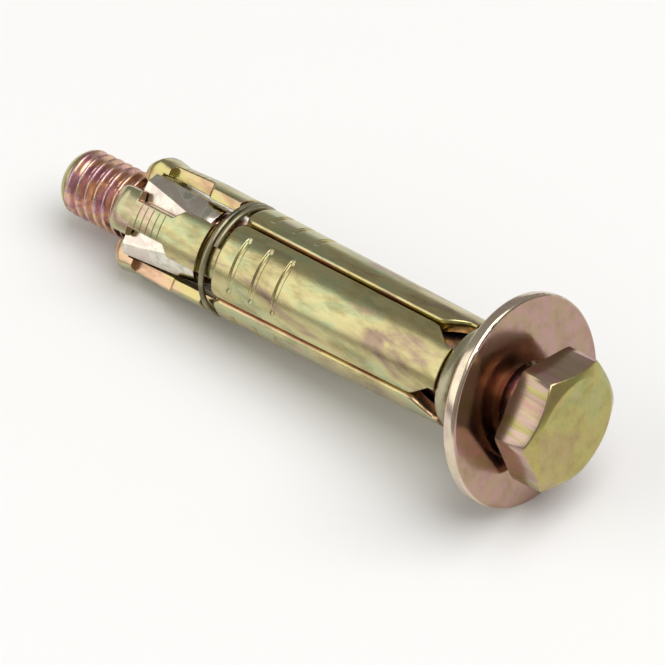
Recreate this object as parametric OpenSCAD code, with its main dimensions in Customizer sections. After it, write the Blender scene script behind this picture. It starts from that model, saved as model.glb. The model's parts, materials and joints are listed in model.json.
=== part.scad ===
// Loose-bolt shield anchor: four pressed steel segments held in a flared ferrule
// at the head end and by a spring wire ring near the tail. A hexagon bolt runs
// through them into a tapered expander nut, which spreads them as it is drawn in.
// Pieces are drawn upright on the bolt's axis, z = 0 at the bearing face of the
// head, and then laid down as the anchor comes to rest on a table.

/* [Bolt] */
// Thread major diameter
thread_d = 5.9; // [5.8:0.05:6]
// Thread pitch
thread_pitch = 1; // [0.75:0.25:1]
// Depth of the thread
thread_depth = 0.55; // [0.4:0.05:0.6]
// Length of the thread from the tail
thread_len = 24; // [20:1:30]
// Diameter of the plain shank between the head and the thread
shank_d = 6; // [5.95:0.05:6.1]
// Length under the head
bolt_len = 50; // [48:0.5:60]
// Hexagon width across flats
head_af = 10; // [9.6:0.1:11]
// Head height with the round washer face
head_h = 4; // [3.2:0.1:5]
// Height of the round washer face under the hexagon
face_h = 0.4; // [0.2:0.05:0.6]
// Diameter of the washer face
face_d = 9; // [8:0.1:9.4]
// Diameter of the flat on top of the head, inside the corner chamfer
crown_d = 9.5; // [8.6:0.1:9.5]
// Angle of the corner chamfer to the top of the head
crown_angle = 30; // [20:1:35]
// Length of the lead-in at the thread's end
lead_len = 1.1; // [0.6:0.1:1.6]
// Diameter of the lead-in's end face
lead_d = 4.6; // [4:0.1:5]
// Turn of the hexagon about the axis
head_turn = 15; // [0:1:60]

/* [Washer] */
// Outside diameter of the washer
washer_d = 17.7; // [16:0.1:20]
// Bore of the washer
washer_bore = 6.8; // [6.8:0.05:7.2]
// Thickness of the washer
washer_t = 1.2; // [1:0.1:1.3]
// Radius of the tumbled edges
washer_roll = 0.35; // [0.2:0.05:0.5]
// Slack along the axis between the head and the middle of the washer
head_slack = 0.95; // [0.95:0.05:1.5]
// Lean of the loose washer back against the ferrule
washer_lean = 8.8; // [4:0.2:9]
// Direction of the lean, turned about the axis from straight up
lean_turn = -10; // [-20:1:20]
// Rise of the washer's centre over the bolt's axis, as the bolt sits in its bore
washer_rise = 0.22; // [0:0.02:0.24]

/* [Ferrule] */
// Diameter of the ferrule where it meets the shield
ferrule_d = 9.3; // [9.1:0.05:9.6]
// Diameter of the flared rim
rim_d = 12.6; // [12:0.1:13.4]
// Length of the ferrule
ferrule_len = 3.65; // [3.2:0.05:4.2]
// Length of the straight collar before the flare
collar_len = 0.75; // [0.5:0.05:1]
// Radius of the flare's hollow curve
flare_r = 4; // [3.5:0.1:5]
// Angle to the axis at which the flare starts
flare_start = 24; // [18:1:28]
// Bore of the ferrule's front lip
lip_bore = 6.9; // [6.7:0.1:7.2]
// Thickness of the front lip
lip_t = 1.1; // [0.8:0.1:1.4]

/* [Shield] */
// Outside diameter of the shield
shield_d = 9.06; // [9:0.02:9.2]
// Thickness of the pressed wall
wall_t = 1.15; // [1.05:0.05:1.2]
// Length of the full-width part of a segment
body_len = 23.75; // [20:0.25:28]
// Width of the slots between the segments
slot_w = 0.3; // [0.25:0.05:0.5]
// Outward lean of each segment as assembled
segment_lean = 1; // [0.9:0.02:1.06]
// Length of the windows that open the slots at the ferrule
window_len = 2.55; // [2:0.05:3]
// Length of a window's slanted corners
window_slant = 1.9; // [1.4:0.1:2]
// Half width of a window, between two tongues
window_half = 1.4; // [1.2:0.05:1.5]
// Thickness of the tongue
tongue_t = 0.6; // [0.5:0.05:0.7]
// Radius of the rounded corners beside the ring
corner_r = 0.8; // [0.4:0.1:1]
// Rounding of the outer edge beside the ring
edge_r = 0.35; // [0.2:0.05:0.4]
// Width of the ring groove
groove_w = 1.7; // [1.4:0.1:2]
// Depth of the ring groove
groove_depth = 0.5; // [0.4:0.05:0.55]

/* [Fingers] */
// Half width of a finger beside the ring
finger_half = 2.05; // [1.9:0.05:2.2]
// Length of the wide part of a finger
finger_wide_len = 3.1; // [2.6:0.1:3.6]
// Half width of a finger's neck
neck_half = 1.22; // [1.1:0.02:1.3]
// Length of the neck from its shoulder to the barbed tip
neck_len = 4.75; // [4.5:0.05:5]
// Length of the slanted shoulder between wide part and neck
shoulder_len = 0.7; // [0.4:0.1:1]
// Half width of the barbed tip
tip_half = 1.95; // [1.7:0.05:2]
// Length of the barbed tip
tip_len = 2.8; // [2.4:0.05:3.2]
// Dip of the outside surface at the back of the tip
tip_dip = 0.22; // [0.1:0.02:0.3]
// Reach of the hooked tip inside the shield's bore
hook_reach = 0.63; // [0.55:0.01:0.68]
// Depth of the fingers' flat inner faces inside the bore
flat_reach = 0.23; // [0.18:0.01:0.25]
// Number of fine grip grooves across the neck
grip_count = 5; // [0:1:5]
// Distance between grip grooves
grip_pitch = 0.66; // [0.5:0.02:0.8]
// Depth of a grip groove
grip_depth = 0.035; // [0.03:0.005:0.06]

/* [Expander nut] */
// Length of the expander nut
nut_len = 7; // [6.5:0.1:7.4]
// Diameter over the corners at the tail
nut_tail_d = 9.2; // [9:0.1:9.3]
// Diameter over the corners at the head end
nut_nose_d = 7; // [6.9:0.05:7.1]
// Width across the flats at the tail
nut_tail_af = 7.2; // [7.1:0.05:7.3]
// Width across the flats at the head end
nut_nose_af = 6.5; // [6.4:0.05:6.6]

/* [Retaining ring] */
// Wire diameter
wire_d = 0.5; // [0.4:0.05:0.6]
// Turns of the wire
ring_turns = 1.4; // [1.2:0.1:1.8]
// Gap between the two strands where they lie side by side
strand_gap = 0.08; // [0.05:0.01:0.15]
// Direction of the wire's visible end about the axis
ring_end_angle = 218; // [0:1:359]

/* [Marks] */
// Number of plain pressed bars across each segment
bar_count = 3; // [0:1:3]
// Distance between bars
bar_pitch = 2.35; // [1.6:0.05:2.6]
// Distance of the first bar from the ring groove
bar_start = 2.1; // [1.2:0.1:3]
// Width of a bar
bar_w = 0.6; // [0.4:0.05:0.8]
// Depth of a bar below the shield's surface
bar_depth = 0.18; // [0.1:0.01:0.2]
// Half angle that a bar covers
bar_half_angle = 32; // [20:1:36]

/* [Fits] */
// Radial clearance of the thread in the expander nut
thread_clear = 0.05; // [0.03:0.01:0.1]
// Clearance of the tongues in the ferrule
tongue_clear = 0.1; // [0.08:0.01:0.15]
// Gap between pieces that rest against each other
seat_gap = 0.06; // [0.05:0.01:0.1]
// Gap between the hooked tips and the expander nut
hook_gap = 0.12; // [0.1:0.01:0.2]

/* [Hidden] */
$fn = 96;
overlap = 0.01;
margin = 1;
quarter = 90;
half_turn = 180;
segment_first = 45;

thread_r = thread_d/2;
lead_r = lead_d/2;
lead_slope = (thread_r - lead_r)/lead_len;
crown_r = crown_d/2;
hex_r = head_af/2/cos(30);
blank_r = hex_r + margin;
washer_r = washer_d/2;
washer_mid = -head_slack - washer_t/2;

rim_r = rim_d/2;
ferrule_r = ferrule_d/2;
lip_r = lip_bore/2;
washer_back_at_rim = washer_mid - washer_t/2/cos(washer_lean) - (rim_r - washer_rise)*tan(washer_lean);
ferrule_front = washer_back_at_rim - seat_gap;
ferrule_tail = ferrule_front - ferrule_len;
pocket_end = ferrule_front - lip_t;

shield_r = shield_d/2;
shield_in_r = shield_r - wall_t;
hook_r = shield_in_r - hook_reach;
finger_flat = shield_in_r - flat_reach;
tongue_r = shield_in_r + tongue_t;
pocket_r = tongue_r + tongue_clear;
tongue_end = pocket_end - tongue_clear;
body_end = ferrule_tail - tongue_clear;
groove_start = body_end - body_len;
groove_end = groove_start - groove_w;
groove_r = shield_r - groove_depth;
wide_end = groove_end - finger_wide_len;
neck_start = wide_end - shoulder_len;
neck_end = wide_end - neck_len;
tip_end = neck_end - tip_len;
hook_face = neck_end - tip_len/4;
crest = neck_end - tip_len/2;
nose_in = (hook_r + shield_in_r)/2;
pivot = [(shield_in_r + tongue_r)/2, 0, (tongue_end + body_end)/2];
bar_r = (bar_w*bar_w/4 + bar_depth*bar_depth)/(2*bar_depth);
slot_shift = slot_w/2/sin(segment_first);
edge_shift = (pivot.z - groove_start)*sin(segment_lean) - slot_shift;
edge_half = (edge_shift + sqrt(2*shield_r*shield_r - edge_shift*edge_shift))/2;
reach = 2*shield_r;

nut_tail = hook_face + hook_gap;
nut_nose = nut_tail + nut_len;

ring_mid = (groove_start + groove_end)/2;
ring_r = groove_r + (pivot.z - ring_mid)*sin(segment_lean) + seat_gap + wire_d/2;

// Lowest points of the washer's rolled edge and of the two tips that reach the table,
// which give the pitch of the axis, its height and the middle of the laid anchor
roll_in = washer_r - washer_roll;
roll_back = washer_t/2 - washer_roll;
lean_down = atan(tan(washer_lean)*cos(lean_turn));
washer_low = [
    washer_mid + roll_in*sin(lean_down) - roll_back*cos(lean_down),
    roll_in*cos(lean_down) + roll_back*sin(lean_down) - washer_rise
];
tip_rise = sqrt(shield_r*shield_r - tip_half*tip_half) + (pivot.z - crest)*sin(segment_lean);
tip_low = [crest, (tip_rise + tip_half)*cos(segment_first)];
low_run = washer_low.x - tip_low.x;
low_drop = washer_low.y - tip_low.y;
pitch = atan(low_drop/low_run) + asin(washer_roll/norm([low_run, low_drop]));
lift = tip_low.y*cos(pitch) - tip_low.x*sin(pitch);
far_x = head_h*cos(pitch) + crown_r*sin(pitch);
near_x = -bolt_len*cos(pitch) - lead_r*sin(pitch);

// Bolt axis from the tail to the head along +X, raised by the pitch at the head
module laid() {
    translate([-(far_x + near_x)/2, 0, lift])
        rotate([0, quarter - pitch, 0])
            children();
}

module hex_bolt() {
    color([0.72, 0.66, 0.38])
        laid() {
            intersection() {
                translate([0, 0, face_h])
                    rotate([0, 0, head_turn])
                        cylinder(r = hex_r, h = head_h - face_h, $fn = 6);
                rotate_extrude()
                    polygon([
                        [0, 0], [blank_r, 0],
                        [blank_r, head_h - (blank_r - crown_r)*tan(crown_angle)],
                        [crown_r, head_h], [0, head_h]
                    ]);
            }
            cylinder(d = face_d, h = face_h + overlap);
            translate([0, 0, thread_len - bolt_len])
                cylinder(d = shank_d, h = bolt_len - thread_len + overlap);
            intersection() {
                thread_skin();
                rotate_extrude()
                    polygon([
                        [0, -bolt_len], [lead_r, -bolt_len],
                        [thread_r + lead_slope*margin, (lead_len + margin) - bolt_len],
                        [thread_r + lead_slope*margin, thread_len + overlap - bolt_len],
                        [0, thread_len + overlap - bolt_len]
                    ]);
            }
        }
}

// Right-hand thread as one skin of root, flank and crest, with a cap past each end
module thread_skin() {
    steps = 16;
    root_r = thread_r - thread_depth;
    root_share = 0.2;
    flank_share = 0.3;
    crest_share = 0.2;
    form = [
        [0, root_r], [root_share, root_r],
        [root_share + flank_share, thread_r], [root_share + flank_share + crest_share, thread_r]
    ];
    points_per_turn = len(form);
    run_out = 2*margin;
    rows = points_per_turn*ceil((thread_len + run_out + margin)/thread_pitch) + 1;
    low_z = -bolt_len - run_out;
    high_z = low_z + thread_pitch*(rows/points_per_turn);
    points = concat(
        [
            for (k = [0:steps - 1], j = [0:rows - 1])
                let (
                    f = form[j%points_per_turn],
                    a = k/steps*2*half_turn,
                    z = low_z + thread_pitch*(k/steps + floor(j/points_per_turn) + f[0])
                )
                [f[1]*cos(a), f[1]*sin(a), z]
        ],
        [[0, 0, low_z], [0, 0, high_z]]
    );
    low_hub = steps*rows;
    walls = [
        for (k = [0:steps - 2], j = [0:rows - 2])
            [k*rows + j, k*rows + j + 1, (k + 1)*rows + j + 1, (k + 1)*rows + j]
    ];
    seam = [
        for (j = [0:rows - 2 - points_per_turn])
            [(steps - 1)*rows + j, (steps - 1)*rows + j + 1, j + 1 + points_per_turn, j + points_per_turn]
    ];
    low_loop = concat([for (k = [0:steps - 1]) k*rows], [for (j = [points_per_turn:-1:1]) j]);
    high_loop = concat(
        [for (k = [0:steps - 1]) k*rows + rows - 1],
        [for (j = [1:points_per_turn]) (steps - 1)*rows + rows - 1 - j]
    );
    low_cap = [
        for (i = [0:len(low_loop) - 1])
            [low_hub, low_loop[i], low_loop[(i + 1)%len(low_loop)]]
    ];
    high_cap = [
        for (i = [0:len(high_loop) - 1])
            [low_hub + 1, high_loop[(i + 1)%len(high_loop)], high_loop[i]]
    ];
    polyhedron(points = points, faces = concat(walls, seam, low_cap, high_cap), convexity = 10);
}

// Blanked from sheet and tumbled, so that both outer edges are round
module washer() {
    color([0.74, 0.6, 0.55])
        laid()
            translate([-washer_rise, 0, washer_mid])
                rotate([0, 0, lean_turn])
                    rotate([0, -washer_lean, 0])
                        rotate_extrude() {
                            translate([washer_bore/2, -washer_t/2])
                                square([roll_in - washer_bore/2, washer_t]);
                            translate([roll_in - overlap, -roll_back])
                                square([washer_roll + overlap, 2*roll_back]);
                            for (side = [-1, 1])
                                translate([roll_in, side*roll_back])
                                    circle(r = washer_roll);
                        }
}

module ferrule() {
    flare_mid = [
        ferrule_r + flare_r*cos(flare_start),
        ferrule_tail + collar_len - flare_r*sin(flare_start)
    ];
    color([0.68, 0.68, 0.5])
        laid()
            rotate_extrude()
                difference() {
                    translate([lip_r, ferrule_tail])
                        square([rim_r - lip_r, ferrule_len]);
                    translate([lip_r - overlap, ferrule_tail - overlap])
                        square([pocket_r - lip_r + overlap, ferrule_len - lip_t + overlap]);
                    translate(flare_mid)
                        circle(r = flare_r);
                    translate([ferrule_r, ferrule_tail - overlap])
                        square([rim_r, collar_len + overlap]);
                }
}

// Wall of a segment in section: tongue, body, ring groove, finger and hooked tip
module segment_section() {
    polygon(concat(
        [
            [shield_in_r, tongue_end], [tongue_r, tongue_end],
            [tongue_r, body_end], [shield_r, body_end]
        ],
        [for (a = [0:-30:-90]) [
            shield_r - edge_r*(1 - cos(a)),
            groove_start + edge_r*(1 + sin(a))
        ]],
        [
            [groove_r, groove_start], [groove_r, groove_end],
            [shield_r, groove_end], [shield_r, neck_start],
            [shield_r - tip_dip, neck_end]
        ],
        [for (a = [0:-22.5:-90]) [
            nose_in + (shield_r - nose_in)*cos(a),
            crest + (crest - tip_end)*sin(a)
        ]],
        [[hook_r, (crest + tip_end)/2], [hook_r, hook_face], [shield_in_r, hook_face]]
    ));
}

// Draws an outline of z and width through the wall, outwards along +X
module through_wall() {
    rotate([0, quarter, 0])
        mirror([1, 0, 0])
            linear_extrude(height = reach)
                children();
}

// Window that opens a slot at the ferrule and leaves a tongue on either side
module slot_window() {
    slant_end = body_end - window_len + window_slant;
    far_end = tongue_end + margin;
    through_wall()
        polygon([
            [body_end - window_len, 0],
            [slant_end, window_half], [far_end, window_half],
            [far_end, -window_half], [slant_end, -window_half]
        ]);
}

// Sheared outline of a segment seen from outside, one half and then its mirror
module segment_outline() {
    half = concat(
        [[tongue_end, shield_r], [groove_start + corner_r, shield_r]],
        [for (a = [0:30:90]) [
            groove_start + corner_r*(1 - sin(a)),
            edge_half - corner_r*(1 - cos(a))
        ]],
        [
            [groove_start, finger_half], [wide_end, finger_half], [neck_start, neck_half],
            [neck_end, neck_half], [neck_end, tip_half]
        ],
        [for (a = [0:20:80]) [
            crest - (crest - tip_end)*sin(a),
            tip_half*(1 + cos(a))/2
        ]]
    );
    polygon(concat(half, [for (i = [len(half) - 1:-1:0]) [half[i].x, -half[i].y]]));
}

// Plain bars pressed into the body and fine grooves cut across the neck
module segment_marks() {
    for (i = [0:1:bar_count - 1])
        rotate([0, 0, -bar_half_angle])
            rotate_extrude(angle = 2*bar_half_angle)
                translate([shield_r - bar_depth + bar_r, groove_start + bar_start + i*bar_pitch])
                    circle(r = bar_r);
    for (i = [0:1:grip_count - 1])
        translate([0, 0, neck_start - (i + 1)*grip_pitch])
            rotate_extrude()
                polygon([
                    [shield_r - tip_dip - grip_depth, 0], [shield_r, -2*grip_depth],
                    [shield_r, 2*grip_depth]
                ]);
}

// One pressed segment with its middle towards +X
module segment_blank() {
    difference() {
        intersection() {
            rotate_extrude()
                segment_section();
            through_wall()
                segment_outline();
        }
        for (side = [-1, 1])
            rotate([0, 0, side*segment_first])
                slot_window();
        translate([0, -reach, hook_face])
            cube([finger_flat, 2*reach, groove_start - hook_face]);
        segment_marks();
    }
}

module shield_segment(i) {
    color([0.72, 0.7, 0.42])
        laid()
            rotate([0, 0, segment_first + i*quarter])
                intersection() {
                    translate(pivot)
                        rotate([0, -segment_lean, 0])
                            translate(-pivot)
                                segment_blank();
                    translate([slot_shift, 0, tip_end - margin])
                        linear_extrude(height = tongue_end - tip_end + 2*margin)
                            polygon([[0, 0], [reach, -reach], [reach, reach]]);
                }
}

// Spring wire bent a little more than one turn, so that its ends lie side by side
module retaining_ring() {
    sides = 8;
    steps = 48;
    pitch_z = wire_d + strand_gap;
    start_z = ring_mid + pitch_z*ring_turns/2;
    points = [
        for (k = [0:steps], s = [0:sides - 1])
            let (
                turn = k/steps*ring_turns,
                a = ring_end_angle - turn*2*half_turn,
                b = s/sides*2*half_turn,
                r = ring_r + wire_d/2*cos(b)
            )
            [r*cos(a), r*sin(a), start_z - turn*pitch_z + wire_d/2*sin(b)]
    ];
    walls = [
        for (k = [0:steps - 1], s = [0:sides - 1])
            let (n = (s + 1)%sides)
            [k*sides + s, (k + 1)*sides + s, (k + 1)*sides + n, k*sides + n]
    ];
    first_cap = [for (s = [0:sides - 1]) s];
    last_cap = [for (s = [sides - 1:-1:0]) steps*sides + s];
    color([0.42, 0.42, 0.34])
        laid()
            polyhedron(points = points, faces = concat([first_cap], walls, [last_cap]));
}

// Tapered nut with four flats that the fingers ride on and corners between them
module expander_nut() {
    flat_taper = atan((nut_tail_af - nut_nose_af)/2/nut_len);
    block = nut_tail_d;
    color([0.85, 0.86, 0.8])
        laid()
            difference() {
                translate([0, 0, nut_tail])
                    cylinder(d1 = nut_tail_d, d2 = nut_nose_d, h = nut_len);
                for (i = [0:3])
                    rotate([0, 0, segment_first + i*quarter])
                        translate([nut_tail_af/2, 0, nut_tail])
                            rotate([0, -flat_taper, 0])
                                translate([0, -block, -block])
                                    cube([block, 2*block, 3*block]);
                translate([0, 0, nut_tail - margin])
                    cylinder(r = thread_r + thread_clear, h = nut_len + 2*margin);
            }
}

hex_bolt();
washer();
ferrule();
shield_segment(0);  // shield_segment_1
shield_segment(1);  // shield_segment_2
shield_segment(2);  // shield_segment_3
shield_segment(3);  // shield_segment_4
retaining_ring();
expander_nut();
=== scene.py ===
import json
import math

import bpy
import numpy as np
from mathutils import Matrix, Vector


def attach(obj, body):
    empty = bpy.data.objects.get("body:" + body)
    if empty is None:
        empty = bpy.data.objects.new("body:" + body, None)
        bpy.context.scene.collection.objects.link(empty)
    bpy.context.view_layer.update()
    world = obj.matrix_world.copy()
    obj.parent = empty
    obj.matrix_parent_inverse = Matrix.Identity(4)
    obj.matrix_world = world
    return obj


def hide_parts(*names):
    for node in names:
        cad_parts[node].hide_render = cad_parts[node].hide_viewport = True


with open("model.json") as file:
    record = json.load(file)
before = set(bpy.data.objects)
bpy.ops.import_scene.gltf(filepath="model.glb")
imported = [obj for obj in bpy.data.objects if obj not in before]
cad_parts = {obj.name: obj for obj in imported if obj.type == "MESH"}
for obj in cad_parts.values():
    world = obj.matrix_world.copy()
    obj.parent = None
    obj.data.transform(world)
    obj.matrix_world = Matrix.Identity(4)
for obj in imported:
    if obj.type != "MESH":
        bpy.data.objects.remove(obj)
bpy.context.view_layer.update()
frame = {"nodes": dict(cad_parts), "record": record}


# Hexagon bolt: cold-headed steel with a rolled M6 thread, yellow passivated, one piece.
# It passes loosely through washer, ferrule and shield and holds in the nut's thread.
# It lies on the table, so the turned pieces are drawn on its axis in millimetres and laid down.
MM = 0.001
SPOKES = 72
BOLT_LEN, LEAD_LEN, LEAD_R, SHANK_R = 50.0, 1.1, 2.3, 3.0
THREAD_R, THREAD_DEPTH, THREAD_PITCH, THREAD_LEN = 2.95, 0.55, 1.0, 24.0
CREST_HALF, FLANK, THREAD_PHASE, ROOT_ROUND = 0.06, 0.34, 0.1, 0.65
TAIL_PLAIN, TAIL_RUN, SHANK_RUN = 0.7, 1.1, 0.8
HIDDEN_LEN, COARSE_STEP, FINE_STEP = 15.0, 0.1, 0.05
TAIL_EDGE, TAIL_HUB = 0.02, 0.3
HEAD_H, FACE_H, FACE_R, FLAT_R, CROWN_R, HEAD_TURN = 4.0, 0.4, 4.5, 5.0, 4.5, 15.0
CORNER_ROUND, CHAMFER, FACE_EDGE, FILLET = 0.07, 30.0, 0.06, 0.2
CROWN_SHARES = (0.6, 0.96, 0.992)
CROWN_EDGE = ((0.02, 0.02), (0.06, 0.04))
TOP_EDGE = ((0.12, 0.0), (0.03, 0.02), (0.0, 0.08))
LOW_EDGE = ((0.0, 0.1), (0.03, 0.03), (0.12, 0.0))
TOP_FACING, LEAD_BARE, HEAD_FOOT, BOLT_SHARP = 0.6, 0.2, -0.3, 38.0
turn = next(j for j in frame["record"]["behaviour"]["joints"] if j["name"] == "bolt_turn")
head_way = -Vector(turn["axis"]).normalized()
side_way = Vector((0, 1, 0))
down_way = side_way.cross(head_way).normalized()
axes = Matrix((down_way, side_way, head_way)).transposed().to_4x4()
laid = Matrix.Translation(Vector(turn["pos_m"])) @ axes


def clamped(share):
    """The share, kept between nothing and all."""
    return min(max(share, 0.0), 1.0)


def ring_mesh(name, rings, sharp):
    """Piece of one skin over rings of points in millimetres, from the head end to the tail,
    closed by a middle point at each end and smooth but for edges over the sharp angle."""
    count = len(rings[0])
    verts = [p for ring in rings for p in ring]
    faces = []
    for k in range(len(rings) - 1):
        a, b = k*count, (k + 1)*count
        faces += [(a + i, b + i, b + (i + 1) % count, a + (i + 1) % count) for i in range(count)]
    for base, flip in ((0, False), ((len(rings) - 1)*count, True)):
        ring = verts[base:base + count]
        verts.append(tuple(sum(p[c] for p in ring)/count for c in range(3)))
        hub = len(verts) - 1
        for i in range(count):
            pair = (base + i, base + (i + 1) % count)
            faces.append((hub, pair[1], pair[0]) if flip else (hub, pair[0], pair[1]))
    mesh = bpy.data.meshes.new(name)
    mesh.from_pydata([laid @ Vector((p[0]*MM, p[1]*MM, p[2]*MM)) for p in verts], [], faces)
    mesh.validate()
    mesh.update()
    for poly in mesh.polygons:
        poly.use_smooth = True
    mesh.set_sharp_from_angle(angle=math.radians(sharp))
    piece = bpy.data.objects.new(name, mesh)
    bpy.context.scene.collection.objects.link(piece)
    return piece


def hexagon_r(degrees):
    """Distance from the axis to the hexagon's side, with the corners a little rounded."""
    off = (degrees % 60) - 30
    return min(FLAT_R/math.cos(math.radians(off)), FLAT_R/math.cos(math.radians(30)) - CORNER_ROUND)


def thread_r(degrees, z):
    """Radius of the rolled right-hand thread, which runs out at the lead-in and at the plain shank."""
    phase = (z/THREAD_PITCH - degrees/360 - THREAD_PHASE) % 1.0
    flank = clamped((abs(phase - 0.5) - CREST_HALF)/FLANK)
    rounded = (1 - ROOT_ROUND)*flank + ROOT_ROUND*flank*flank*(3 - 2*flank)
    end = clamped((z + BOLT_LEN - TAIL_PLAIN)/TAIL_RUN)
    start = clamped((THREAD_LEN - BOLT_LEN - z)/SHANK_RUN)
    cone = LEAD_R + (THREAD_R - LEAD_R)*math.sin(clamped((z + BOLT_LEN)/LEAD_LEN)*math.pi/2)
    return min(THREAD_R - THREAD_DEPTH*rounded*start*end, cone)


def spoked(ring):
    """Points of a ring of (radius, degrees, height), turned as the head is turned."""
    turned = [(r, math.radians(a + HEAD_TURN), z) for r, a, z in ring]
    return [(r*math.cos(t), r*math.sin(t), z) for r, t, z in turned]


angles = [i*360/SPOKES for i in range(SPOKES)]
hexagon = [(hexagon_r(a), a) for a in angles]
slope = math.tan(math.radians(CHAMFER))
shank_end = THREAD_LEN - BOLT_LEN
stack = [[(CROWN_R*share, a, HEAD_H) for a in angles] for share in CROWN_SHARES]
stack += [[(CROWN_R + over, a, HEAD_H - drop) for a in angles] for over, drop in CROWN_EDGE]
for inset, drop in TOP_EDGE:
    stack.append([(r - inset, a, HEAD_H - (r - inset - CROWN_R)*slope - drop) for r, a in hexagon])
for inset, rise in LOW_EDGE:
    stack.append([(r - inset, a, FACE_H + rise) for r, a in hexagon])
for r, z in ((FACE_R, FACE_H), (FACE_R, FACE_EDGE), (FACE_R - FACE_EDGE, 0.0), (SHANK_R + FILLET, 0.0),
             (SHANK_R, -FILLET), (SHANK_R, shank_end + COARSE_STEP), (THREAD_R, shank_end)):
    stack.append([(r, a, z) for a in angles])
levels = [shank_end - COARSE_STEP*k for k in range(1, round(HIDDEN_LEN/COARSE_STEP) + 1)]
fine_count = round((THREAD_LEN - HIDDEN_LEN)/FINE_STEP)
levels += [shank_end - HIDDEN_LEN - FINE_STEP*k for k in range(1, fine_count)]
stack += [[(thread_r(a + HEAD_TURN, z), a, z) for a in angles] for z in levels]
stack.append([(LEAD_R - TAIL_EDGE, a, -BOLT_LEN) for a in angles])
stack.append([((LEAD_R - TAIL_EDGE)*TAIL_HUB, a, -BOLT_LEN) for a in angles])
bolt = ring_mesh("hex_bolt_threaded", [spoked(ring) for ring in stack], BOLT_SHARP)


def added(mat, kind, **values):
    """A new shader node of that kind in the material, with its input values."""
    node = mat.node_tree.nodes.new("ShaderNode" + kind)
    for name, value in values.items():
        node.inputs[name.replace("_", " ")].default_value = value
    return node


def summed(mat, operation, first, second=None):
    """Vector sum of that kind, on outputs of other nodes or on a fixed vector."""
    node = mat.node_tree.nodes.new("ShaderNodeVectorMath")
    node.operation = operation
    for socket, value in zip(node.inputs, (first, second)):
        if isinstance(value, bpy.types.NodeSocket):
            mat.node_tree.links.new(value, socket)
        elif value is not None:
            socket.default_value = value
    return node


def noise(mat, along, **values):
    """Output of a noise that follows the piece's own stretched coordinates."""
    node = added(mat, "TexNoise", **values)
    mat.node_tree.links.new(along.outputs["Vector"], node.inputs["Vector"])
    return node.outputs["Fac"]


def ranged(mat, source, **limits):
    """Output that follows another one between the given limits."""
    node = added(mat, "MapRange", **limits)
    mat.node_tree.links.new(source, node.inputs["Value"])
    return node.outputs["Result"]


def mixed(mat, share, first, second, blend="MIX"):
    """Colour mixed from two by a share, each an output or a fixed colour."""
    node = added(mat, "MixRGB")
    node.blend_type = blend
    mat.node_tree.links.new(share, node.inputs["Fac"])
    for name, colour in (("Color1", first), ("Color2", second)):
        if isinstance(colour, bpy.types.NodeSocket):
            mat.node_tree.links.new(colour, node.inputs[name])
        else:
            node.inputs[name].default_value = (*colour, 1)
    return node.outputs["Color"]


def from_axis(mat, where):
    """Vector from the bolt's axis straight out to each point."""
    offset = summed(mat, "SUBTRACT", where.outputs["Object"], turn["pos_m"])
    ahead = summed(mat, "PROJECT", offset.outputs["Vector"], head_way)
    return summed(mat, "SUBTRACT", offset.outputs["Vector"], ahead.outputs["Vector"]).outputs["Vector"]


def zinc(name, colours, roughness, blotch, streak, bump, stain, sheared=None, root_shade=None):
    """Passivated zinc: tinted cloudy patches, a fine rolled grain and small dull stains. Where
    given, two tints on faces that don't look away from the axis, and their patch scale, or a
    dark tint painted as shade in the bottom of a thread's grooves, with the radii where it ends."""
    mat = bpy.data.materials.new(name)
    mat.use_nodes = True
    shader = mat.node_tree.nodes["Principled BSDF"]
    shader.inputs["Metallic"].default_value = 1.0
    link = mat.node_tree.links.new
    where = added(mat, "TexCoord")
    along = added(mat, "Mapping", Rotation=(0, math.asin(head_way.z), 0), Scale=streak)
    link(where.outputs["Object"], along.inputs["Vector"])
    tint = added(mat, "ValToRGB")
    ramp = tint.color_ramp.elements
    while len(ramp) < len(colours):
        ramp.new(0.5)
    for stop, (place, colour) in zip(ramp, colours):
        stop.position = place
        stop.color = (*colour, 1)
    link(noise(mat, along, Scale=blotch, Detail=4.0, Roughness=0.6, Distortion=0.4), tint.inputs["Fac"])
    colour = tint.outputs["Color"]
    if sheared:
        first, second, scale = sheared
        torn = ranged(mat, noise(mat, along, Scale=scale, Detail=4.0), From_Min=0.42, From_Max=0.58)
        away = summed(mat, "NORMALIZE", from_axis(mat, where)).outputs["Vector"]
        facing = summed(mat, "DOT_PRODUCT", away, where.outputs["Normal"]).outputs["Value"]
        outward = ranged(mat, facing, From_Min=0.45, From_Max=0.8)
        colour = mixed(mat, outward, mixed(mat, torn, first, second), colour)
    # Painted shade: the bottom of the thread's grooves is tinted dark, chosen by the radius from the
    # axis.
    if root_shade:
        deep, shallow, root_shade_tint = root_shade
        radius = summed(mat, "LENGTH", from_axis(mat, where)).outputs["Value"]
        flanks = ranged(mat, radius, From_Min=deep*MM, From_Max=shallow*MM)
        colour = mixed(mat, flanks, root_shade_tint, colour)
    spots = noise(mat, along, Scale=600.0, Detail=6.0, Roughness=0.65)
    stained = ranged(mat, spots, From_Min=0.48, From_Max=0.66, To_Max=stain)
    link(mixed(mat, stained, colour, (0.45, 0.36, 0.26), "MULTIPLY"), shader.inputs["Base Color"])
    dull = ranged(mat, spots, From_Min=0.3, From_Max=0.7, To_Min=roughness[0], To_Max=roughness[1])
    link(dull, shader.inputs["Roughness"])
    relief = added(mat, "Bump", Strength=bump, Distance=0.00004)
    link(noise(mat, along, Scale=1500.0, Detail=5.0), relief.inputs["Height"])
    link(relief.outputs["Normal"], shader.inputs["Normal"])
    return mat


# The bottom of the thread's grooves, inside 2.40 to 2.46 mm from the axis, gets a dark brown painted
# shade.
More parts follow.
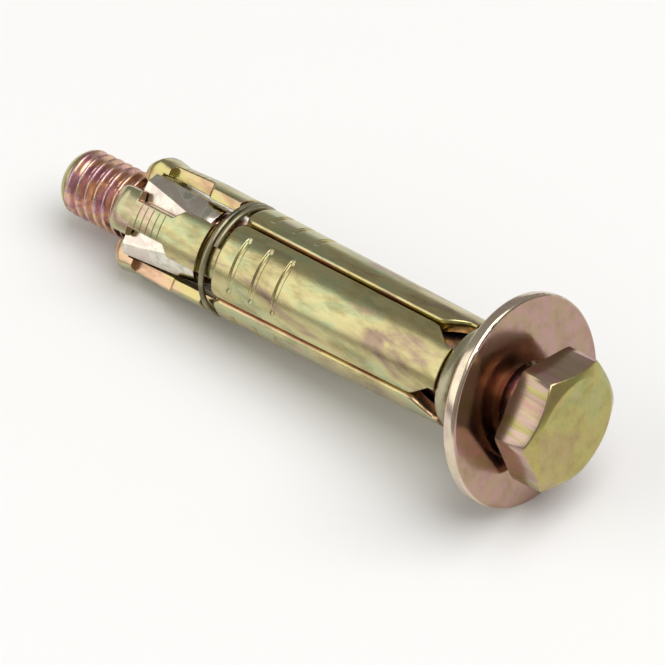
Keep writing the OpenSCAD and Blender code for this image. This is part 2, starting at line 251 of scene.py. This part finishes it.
bolt.data.materials.append(zinc(
    "bolt_thread_zinc_root_shade",
    [(0.38, (0.52, 0.27, 0.28)), (0.46, (0.74, 0.46, 0.40)),
     (0.53, (0.76, 0.50, 0.30)), (0.61, (0.56, 0.34, 0.38))],
    roughness=(0.22, 0.36), blotch=480.0, streak=(0.7, 1.0, 1.0), bump=0.25, stain=0.4,
    root_shade=(2.40, 2.46, (0.34, 0.16, 0.13))))
bolt.data.materials.append(zinc(
    "bolt_head_side_zinc",
    [(0.38, (0.55, 0.34, 0.31)), (0.46, (0.50, 0.40, 0.24)),
     (0.53, (0.52, 0.37, 0.33)), (0.60, (0.44, 0.38, 0.17))],
    roughness=(0.16, 0.30), blotch=800.0, streak=(0.12, 1.0, 1.0), bump=0.5, stain=0.4))
bolt.data.materials.append(zinc(
    "bolt_head_top_zinc",
    [(0.34, (0.44, 0.34, 0.15)), (0.46, (0.46, 0.40, 0.13)),
     (0.56, (0.40, 0.40, 0.15)), (0.66, (0.50, 0.37, 0.20))],
    roughness=(0.24, 0.36), blotch=200.0, streak=(1.0, 1.0, 1.0), bump=0.2, stain=0.3))
THREAD_FINISH, SIDE_FINISH, TOP_FINISH = 0, 1, 2
for poly in bolt.data.polygons:
    high = (laid.inverted() @ poly.center).z/MM
    top = poly.normal.dot(head_way) > TOP_FACING and high > HEAD_H/2
    lead = high < LEAD_LEN - BOLT_LEN - LEAD_BARE
    if top or lead:
        poly.material_index = TOP_FINISH
    else:
        poly.material_index = THREAD_FINISH if high < HEAD_FOOT else SIDE_FINISH
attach(bolt, "bolt")
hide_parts("hex_bolt")


# Flat washer: blanked from steel sheet and tumbled, pink on its faces, with a cream tint on its rim
# that is a painted highlight.
# It hangs loose on the bolt, leaning between the head and the ferrule.
WASHER_EDGE = 0.00003


def dress(node, width, material):
    """Softens a solid's edges as pressing and plating leave them, and gives it its finish."""
    piece = frame["nodes"][node]
    weld = piece.modifiers.new("weld", "WELD")
    weld.merge_threshold = 1e-6
    bevel = piece.modifiers.new("edges", "BEVEL")
    bevel.width = width
    bevel.segments = 2
    bevel.limit_method = "ANGLE"
    bevel.angle_limit = math.radians(32)
    bevel.use_clamp_overlap = True
    normals = piece.modifiers.new("normals", "WEIGHTED_NORMAL")
    normals.keep_sharp = False
    for poly in piece.data.polygons:
        poly.use_smooth = True
    piece.data.materials.clear()
    piece.data.materials.append(material)


dress("washer", WASHER_EDGE, zinc(
    "washer_pink_zinc_rim_highlight",
    # The cream tints of the ramp fall on the rim only and are a painted highlight; the pink tints below
    # are the faces' own colour.
    [(0.34, (0.62, 0.50, 0.43)), (0.48, (0.72, 0.63, 0.46)), (0.62, (0.66, 0.52, 0.45))],
    roughness=(0.13, 0.24), blotch=220.0, streak=(1.0, 1.0, 1.0), bump=0.12, stain=0.25,
    sheared=((0.42, 0.30, 0.20), (0.46, 0.29, 0.25), 900.0)))


# Ferrule: pressed and turned steel collar with a flared rim, smooth yellow zinc.
# Its pocket holds the four tongues of the shield.
FERRULE_EDGE = 0.00006
dress("ferrule", FERRULE_EDGE, zinc(
    "ferrule_yellow_zinc",
    [(0.30, (0.46, 0.40, 0.27)), (0.50, (0.52, 0.47, 0.31)), (0.70, (0.48, 0.49, 0.33))],
    roughness=(0.18, 0.30), blotch=240.0, streak=(1.0, 1.0, 1.0), bump=0.2, stain=0.4))


# Shield: four pressed steel quarters with tongues in the ferrule, a groove for the wire
# ring and necked fingers hooked behind the nut. Bright yellow zinc with green and pink tints.
SHIELD_R, WALL, SLOT_HALF, LEAN = 4.53, 1.15, 0.11, 1.0
TONGUE_TOP, TONGUE_LEN, TONGUE_T = -4.3584, 2.55, 0.6
WINDOW_LEN, WINDOW_SLANT, WINDOW_HALF = 2.55, 1.9, 1.4
BODY_LEN, EDGE_HALF, CORNER_R, EDGE_R = 23.75, 3.31, 0.8, 0.35
GROOVE_W, GROOVE_DEPTH = 1.7, 0.5
WIDE_LEN, SHOULDER_LEN, NECK_LEN, TIP_LEN = 3.1, 0.7, 4.75, 2.8
FINGER_HALF, NECK_HALF, TIP_HALF, TIP_DIP = 2.05, 1.22, 1.95, 0.22
FLAT_REACH, HOOK_REACH, BEAK = 0.23, 0.63, 0.6
BARS, BAR_START, BAR_PITCH, BAR_W, BAR_DEPTH, BAR_ANGLE = 3, 2.1, 2.35, 0.6, 0.18, 32.0
LINES, LINE_PITCH, LINE_W, LINE_DEPTH = 5, 0.66, 0.1, 0.035
TONGUE_ROLL, BODY_ROLL, FINGER_ROLL, TIP_ROLL, NOSE_ROLL = 0.05, 0.38, 0.12, 0.34, 0.28
EASE, ROLL_DROP, ROLL_LIMIT, DROP_LIMIT, BORE_EDGE = 0.09, 2.0, 0.6, 0.7, 0.06
ARC_STEPS, ROLL_STEPS, BORE_EDGE_STEPS, BORE_STEPS = 16, 6, 3, 5
SHIELD_SHARP = 50.0
bore_r = SHIELD_R - WALL
hook_r = bore_r - HOOK_REACH
nose_r = (hook_r + bore_r)/2
body_top = TONGUE_TOP - TONGUE_LEN
window_low = body_top - WINDOW_LEN
no_window = -SHIELD_R/4
groove_top = body_top - BODY_LEN
groove_low = groove_top - GROOVE_W
wide_low = groove_low - WIDE_LEN
neck_top = wide_low - SHOULDER_LEN
tip_top = wide_low - NECK_LEN
crest = tip_top - TIP_LEN/2
tip_low = tip_top - TIP_LEN
hook_top = tip_top - TIP_LEN/4
pivot = Vector((bore_r + TONGUE_T/2, 0, (TONGUE_TOP + body_top)/2))
bar_heights = [groove_top + BAR_START + k*BAR_PITCH for k in range(BARS)]
line_heights = [neck_top - (k + 1)*LINE_PITCH for k in range(LINES)]

# Each line gives one measure of the segment from its tongue down to its tip.
quarter_turn = [math.radians(a) for a in range(0, 91, 10)]
nose_turn = [math.radians(a) for a in range(0, 86, 5)]
outer_line = [(TONGUE_TOP, bore_r + TONGUE_T), (body_top, bore_r + TONGUE_T), (body_top, SHIELD_R)]
outer_line += [(groove_top + EDGE_R*(1 - math.sin(a)), SHIELD_R - EDGE_R*(1 - math.cos(a)))
               for a in quarter_turn]
outer_line += [(groove_top, SHIELD_R - GROOVE_DEPTH), (groove_low, SHIELD_R - GROOVE_DEPTH),
               (groove_low, SHIELD_R), (neck_top, SHIELD_R), (tip_top, SHIELD_R - TIP_DIP)]
for a in nose_turn:
    beak = BEAK*(1 - math.sin(a)) + (1 - BEAK)*math.cos(a)
    outer_line.append((crest - (crest - tip_low)*math.sin(a), nose_r + (SHIELD_R - nose_r)*beak))
inner_line = [(TONGUE_TOP, bore_r), (hook_top, bore_r), (hook_top, hook_r),
              ((crest + tip_low)/2, hook_r), (tip_low, nose_r)]
flat_line = [(TONGUE_TOP, 0), (groove_top, 0), (groove_top, bore_r - FLAT_REACH),
             (hook_top, bore_r - FLAT_REACH), (hook_top, 0), (tip_low, 0)]
half_line = [(TONGUE_TOP, SHIELD_R), (groove_top + CORNER_R, SHIELD_R)]
half_line += [(groove_top + CORNER_R*(1 - math.sin(a)), EDGE_HALF - CORNER_R*(1 - math.cos(a)))
              for a in quarter_turn]
half_line += [(groove_top, FINGER_HALF), (wide_low, FINGER_HALF), (neck_top, NECK_HALF),
              (tip_top, NECK_HALF), (tip_top, TIP_HALF)]
half_line += [(crest - (crest - tip_low)*math.sin(a), TIP_HALF*(1 + math.cos(a))/2) for a in nose_turn]
window_line = [(TONGUE_TOP, WINDOW_HALF), (window_low + WINDOW_SLANT, WINDOW_HALF),
               (window_low, 0), (window_low, no_window), (tip_low, no_window)]
roll_line = [(TONGUE_TOP, TONGUE_ROLL), (body_top, TONGUE_ROLL), (body_top, BODY_ROLL),
             (groove_top, BODY_ROLL), (groove_top, FINGER_ROLL), (tip_top, FINGER_ROLL),
             (tip_top - TIP_LEN/6, TIP_ROLL), (tip_low, NOSE_ROLL)]


def line_at(z, line):
    """Value at that height of a broken line of (height, value) points, with its steps eased."""
    places, values = zip(*reversed(line))
    near = [np.interp(z + EASE*k/3, places, values) for k in (-2, -1, 0, 1, 2)]
    return (near[0] + 2*near[1] + 3*near[2] + 2*near[3] + near[4])/9


def pressed(z, angle):
    """Depth of the pressed bars and of the fine lines across the neck at that place outside."""
    deep = 0.0
    for high in bar_heights:
        past = max(abs(angle) - math.radians(BAR_ANGLE) + BAR_W/2/SHIELD_R, 0)*SHIELD_R
        rise = clamped((BAR_W/2 - math.hypot(z - high, past))/(BAR_W/4))
        deep += BAR_DEPTH*rise*rise*(3 - 2*rise)
    for high in line_heights:
        deep += LINE_DEPTH*max(0, 1 - abs(z - high)/(LINE_W/2))
    return deep


def corner(start, tip, end, steps):
    """Points of a rounded corner from start to end, which bends towards its tip."""
    shares = [k/steps for k in range(steps + 1)]
    return [start*(1 - t)**2 + tip*2*t*(1 - t) + end*t*t for t in shares]


def bore_x(y, inner, flat):
    """Place of the bore's wall at that width, on the round or on the flat for the nut."""
    return max(math.sqrt(max(inner*inner - y*y, 0)), flat)


def segment_ring(z):
    """Section of a segment at that height, with its middle towards +X: the outside, one sheared
    side, the inside and the other side."""
    lines = (outer_line, inner_line, flat_line, half_line)
    outer, inner, flat, half = (line_at(z, line) for line in lines)
    slot = SLOT_HALF - (pivot.z - z)*math.sin(math.radians(LEAN))*math.sqrt(0.5)
    gap = max(slot, line_at(z, window_line))
    wide = min(math.pi/4 - math.asin(gap/outer), math.asin(min(half/outer, 1)))
    bore_half = min(inner*math.sin(math.pi/4 - math.asin(gap/inner)), half)
    outside = Vector((outer*math.cos(wide), outer*math.sin(wide)))
    inside = Vector((bore_x(bore_half, inner, flat), bore_half))
    side = inside - outside
    inward = side.normalized()
    roll = min(line_at(z, roll_line), ROLL_LIMIT*side.length)
    drop = min(ROLL_DROP*roll, DROP_LIMIT*side.length)
    bend = wide - roll/outer
    arc = [bend*(k/ARC_STEPS - 1) for k in range(2*ARC_STEPS + 1)]
    points = [Vector((math.cos(a), math.sin(a)))*(outer - pressed(z, a)) for a in arc]
    edge = corner(points.pop(), outside, outside + inward*drop, ROLL_STEPS)
    edge += corner(inside - inward*BORE_EDGE, inside, inside - Vector((0, BORE_EDGE)), BORE_EDGE_STEPS)
    points = points[1:] + edge
    for k in range(1, 2*BORE_STEPS):
        y = (bore_half - BORE_EDGE)*(1 - k/BORE_STEPS)
        points.append(Vector((bore_x(y, inner, flat), y)))
    points += [Vector((p.x, -p.y)) for p in reversed(edge)]
    return [Vector((p.x, p.y, z)) for p in points]


# Sections lie close together at each step, bar, line and rounding, and wide apart between.
sections = [TONGUE_TOP, window_low + WINDOW_SLANT, groove_low - WIDE_LEN/2]
for step in (body_top, groove_top, groove_low, wide_low, neck_top, tip_top, hook_top):
    sections += [step + EASE*k/4 for k in range(-5, 6)]
sections += [high + BAR_W*k/14 for high in bar_heights for k in range(-8, 9)]
sections += [high + LINE_W*k/4 for high in line_heights for k in range(-3, 4)]
sections += [groove_top + CORNER_R*k/16 for k in range(17)]
sections += [crest - (crest - tip_low)*math.sin(a) for a in nose_turn]
sections += [body_top - BODY_LEN*k/40 for k in range(40)]
sections = sorted(set(round(z, 3) for z in sections), reverse=True)
lean = Matrix.Rotation(-math.radians(LEAN), 3, "Y")
leaned = [[lean @ (p - pivot) + pivot for p in segment_ring(z)] for z in sections]
shield_zinc = zinc(
    "shield_yellow_zinc",
    [(0.36, (0.36, 0.26, 0.19)), (0.43, (0.50, 0.43, 0.22)), (0.51, (0.56, 0.51, 0.26)),
     (0.56, (0.45, 0.49, 0.27)), (0.61, (0.54, 0.48, 0.29)), (0.67, (0.60, 0.44, 0.35))],
    roughness=(0.18, 0.32), blotch=300.0, streak=(0.35, 1.0, 1.0), bump=0.3, stain=0.6,
    sheared=((0.55, 0.50, 0.20), (0.64, 0.42, 0.28), 300.0))
for number in (1, 2, 3, 4):
    about = Matrix.Rotation(math.radians(45 + 90*(number - 1)), 3, "Z")
    rings = [[about @ p for p in ring] for ring in leaned]
    segment = ring_mesh("shield_segment_%d_pressed" % number, rings, SHIELD_SHARP)
    segment.data.materials.append(shield_zinc)
    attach(segment, "segment_%d" % number)
    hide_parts("shield_segment_%d" % number)


# Retaining ring: spring steel wire wound a little more than one turn, its ends side by
# side, springing the fingers onto the nut. Each quarter of it moves with its segment.
RING_R, RING_MID, WIRE_R, WIRE_SIDES = 4.7916, -31.5084, 0.25, 16
RING_TURNS, RING_END, RING_LEAD, RING_LAP = 1.4, 218.0, 0.58, 9
RING_STEP, RING_SHARP = 2, 50.0
wire = zinc(
    "wire_dull_zinc",
    [(0.3, (0.26, 0.24, 0.15)), (0.5, (0.34, 0.31, 0.20)), (0.7, (0.40, 0.35, 0.24))],
    roughness=(0.30, 0.45), blotch=600.0, streak=(1.0, 1.0, 1.0), bump=0.3, stain=0.4)
for number in (1, 2, 3, 4):
    first = 90*(number - 1)
    verts, faces = [], []
    for whole in (0, -360):
        low = max(first + whole - RING_LAP, RING_END - 360*RING_TURNS)
        high = min(first + whole + 90 + RING_LAP, RING_END)
        if high - low < 1:
            continue
        count = max(3, int((high - low)/RING_STEP))
        base = len(verts)
        for k in range(count + 1):
            a = math.radians(low + (high - low)*k/count)
            done = (RING_END - math.degrees(a))/360
            middle_z = RING_MID + RING_LEAD*(RING_TURNS/2 - done)
            for s in range(WIRE_SIDES):
                b = s*2*math.pi/WIRE_SIDES
                r = (RING_R + WIRE_R*math.cos(b))*MM
                z = (middle_z + WIRE_R*math.sin(b))*MM
                verts.append(laid @ Vector((r*math.cos(a), r*math.sin(a), z)))
        for k in range(count):
            a, b = base + WIRE_SIDES*k, base + WIRE_SIDES*(k + 1)
            for s in range(WIRE_SIDES):
                after = (s + 1) % WIRE_SIDES
                faces.append((a + s, b + s, b + after, a + after))
        last = base + WIRE_SIDES*count
        faces.append(tuple(range(base, base + WIRE_SIDES)))
        faces.append(tuple(reversed(range(last, last + WIRE_SIDES))))
    mesh = bpy.data.meshes.new("retaining_ring_%d" % number)
    mesh.from_pydata(verts, [], faces)
    mesh.update()
    for poly in mesh.polygons:
        poly.use_smooth = True
    mesh.set_sharp_from_angle(angle=math.radians(RING_SHARP))
    mesh.materials.append(wire)
    quarter = bpy.data.objects.new("retaining_ring_%d" % number, mesh)
    bpy.context.scene.collection.objects.link(quarter)
    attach(quarter, "segment_%d" % number)
    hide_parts("retaining_ring")


# Expander nut: tapered steel nut with four flats, bright zinc that is almost white.
# The finger tips hook behind it and its flats wedge the fingers apart.
NUT_EDGE = 0.00006
dress("expander_nut", NUT_EDGE, zinc(
    "nut_bright_zinc",
    [(0.38, (0.52, 0.53, 0.42)), (0.47, (0.77, 0.73, 0.63)), (0.56, (0.66, 0.58, 0.51))],
    roughness=(0.14, 0.26), blotch=500.0, streak=(1.0, 1.0, 1.0), bump=0.3, stain=0.25))


# Studio: a wide sheet of white paper that the anchor lies on, two soft lamps, one low at the
# left and one overhead, and the camera at the photograph's angle.
FLOOR_HALF, PAPER, PAPER_ROUGH = 3, 0.92, 0.9
ROOM_COLOUR, ROOM_STRENGTH = (1.0, 0.97, 0.92, 1), 0.32
AIM = Vector((0, 0, 0.008))
CAMERA_PLACE, LENS, SENSOR = Vector((0.19691, -0.20952, 0.29437)), 270.7, 36.0
CAMERA_RIGHT, CAMERA_UP = Vector((0.75365, 0.65639, -0.03420)), Vector((-0.44997, 0.55317, 0.70109))
floor_mesh = bpy.data.meshes.new("floor")
sheet = [(x*FLOOR_HALF, y*FLOOR_HALF, 0) for x, y in ((-1, -1), (1, -1), (1, 1), (-1, 1))]
floor_mesh.from_pydata(sheet, [], [(0, 1, 2, 3)])
floor = bpy.data.objects.new("floor", floor_mesh)
bpy.context.scene.collection.objects.link(floor)
paper = bpy.data.materials.new("floor_paper")
paper.use_nodes = True
paper.node_tree.nodes["Principled BSDF"].inputs["Base Color"].default_value = (PAPER, PAPER, PAPER, 1)
paper.node_tree.nodes["Principled BSDF"].inputs["Roughness"].default_value = PAPER_ROUGH
floor_mesh.materials.append(paper)

world = bpy.data.worlds.new("studio")
world.use_nodes = True
world.node_tree.nodes["Background"].inputs["Color"].default_value = ROOM_COLOUR
world.node_tree.nodes["Background"].inputs["Strength"].default_value = ROOM_STRENGTH
bpy.context.scene.world = world


def softbox(name, way, distance, width, height, power, colour):
    """Area light that looks at the middle of the anchor from that direction."""
    lamp = bpy.data.lights.new(name, "AREA")
    lamp.shape = "RECTANGLE"
    lamp.size = width
    lamp.size_y = height
    lamp.energy = power
    lamp.color = colour
    light = bpy.data.objects.new(name, lamp)
    way = Vector(way).normalized()
    light.location = way*distance + AIM
    light.rotation_euler = way.to_track_quat("Z", "Y").to_euler()
    bpy.context.scene.collection.objects.link(light)


softbox("left_box", (-0.58, -0.64, 0.56), distance=0.50, width=0.46, height=0.44, power=0.76,
        colour=(1.0, 0.99, 0.96))
softbox("top_box", (0.35, 0.15, 0.92), distance=0.80, width=0.80, height=0.80, power=5.7,
        colour=(1.0, 1.0, 1.0))

camera_data = bpy.data.cameras.new("camera")
camera_data.sensor_width = SENSOR
camera_data.lens = LENS
camera_data.clip_end = 10.0
camera = bpy.data.objects.new("camera", camera_data)
camera_back = CAMERA_RIGHT.cross(CAMERA_UP).normalized()
camera_turn = Matrix((CAMERA_RIGHT, CAMERA_UP, camera_back)).transposed().to_4x4()
camera.matrix_world = Matrix.Translation(CAMERA_PLACE) @ camera_turn
bpy.context.scene.collection.objects.link(camera)
bpy.context.scene.camera = camera

bpy.context.scene.view_settings.view_transform = "Standard"
